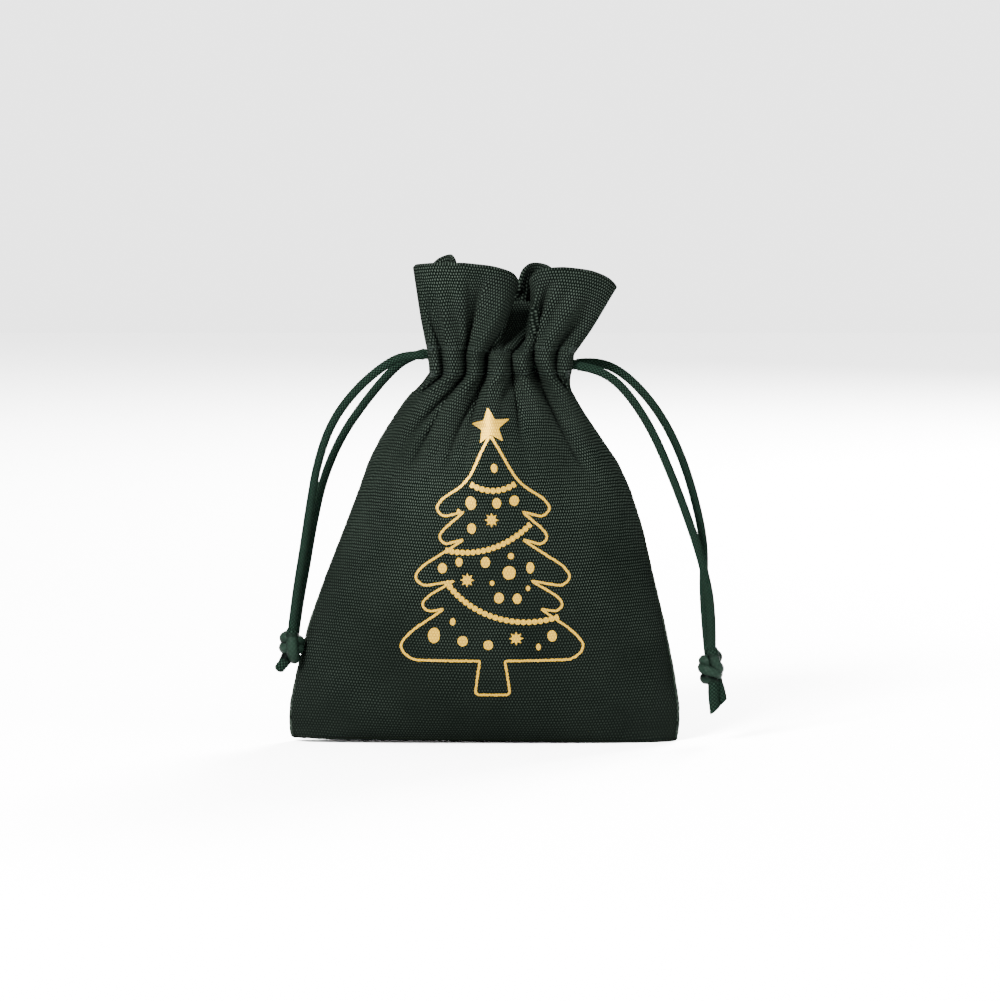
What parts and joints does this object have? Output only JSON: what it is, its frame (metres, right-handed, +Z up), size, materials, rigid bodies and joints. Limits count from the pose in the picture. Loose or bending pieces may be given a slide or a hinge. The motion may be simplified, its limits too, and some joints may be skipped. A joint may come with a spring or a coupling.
{
  "type": "drawstring gift pouch",
  "caption": "Small dark green canvas pouch with a gold foil fir tree, its ruffled neck drawn shut by knotted cords at both sides.",
  "frame": {"origin": "middle of the flattened bottom that the pouch stands on", "axes": "+Z up through the gathered neck, -Y out of the front, which carries the gold print, +X to the right seen from the front"},
  "size_m": [0.1157, 0.0403, 0.1205],
  "materials": {
    "canvas": "matte, dark green cotton canvas in plain weave",
    "thread": "matte, dark green sewing thread",
    "cord": "satin, dark green braided cord",
    "gold_foil": "satin, gold hot foil broken up by the weave"
  },
  "bodies": {
    "pouch": {"front_panel": "canvas", "back_panel": "canvas", "front_channel": "canvas", "back_channel": "canvas", "left_side_seam": "thread", "right_side_seam": "thread", "bottom_seam": "thread", "front_channel_stitches": "thread", "back_channel_stitches": "thread", "left_exit_tacks": "thread", "right_exit_tacks": "thread", "foil_star": "gold_foil", "foil_tree_outline": "gold_foil", "foil_garlands": "gold_foil", "foil_baubles": "gold_foil", "foil_sparkles": "gold_foil"},
    "front_heading": {"front_heading": "canvas"},
    "back_heading": {"back_heading": "canvas"},
    "left_cord_run": {"left_cord_run": "cord"},
    "left_cord_loop": {"left_cord_front_leg": "cord", "left_cord_back_leg": "cord", "left_knot": "cord", "left_tails": "cord"},
    "right_cord_run": {"right_cord_run": "cord"},
    "right_cord_loop": {"right_cord_front_leg": "cord", "right_cord_back_leg": "cord", "right_knot": "cord", "right_tails": "cord"}
  },
  "joints": [
    {"name": "front_heading_spread", "type": "hinge", "parent": "pouch", "child": "front_heading", "pos_m": [0.0043, -0.0105, 0.1007], "axis": [1, 0, 0], "range_deg": [0, 25], "stiffness_Nm_per_rad": 0.002},
    {"name": "back_heading_spread", "type": "hinge", "parent": "pouch", "child": "back_heading", "pos_m": [0.0043, 0.0105, 0.1007], "axis": [-1, 0, 0], "range_deg": [0, 25], "stiffness_Nm_per_rad": 0.002},
    {"name": "left_cord_pull", "type": "slide", "parent": "pouch", "child": "left_cord_run", "axis": [-1, 0, 0], "range_m": [0, 0.008]},
    {"name": "left_cord_swing", "type": "hinge", "parent": "left_cord_run", "child": "left_cord_loop", "pos_m": [-0.0149, 0, 0.0984], "axis": [0, 1, 0], "range_deg": [0, 60]},
    {"name": "right_cord_pull", "type": "slide", "parent": "pouch", "child": "right_cord_run", "axis": [1, 0, 0], "range_m": [0, 0.008]},
    {"name": "right_cord_swing", "type": "hinge", "parent": "right_cord_run", "child": "right_cord_loop", "pos_m": [0.0235, 0, 0.0957], "axis": [0, -1, 0], "range_deg": [0, 60]}
  ]
}
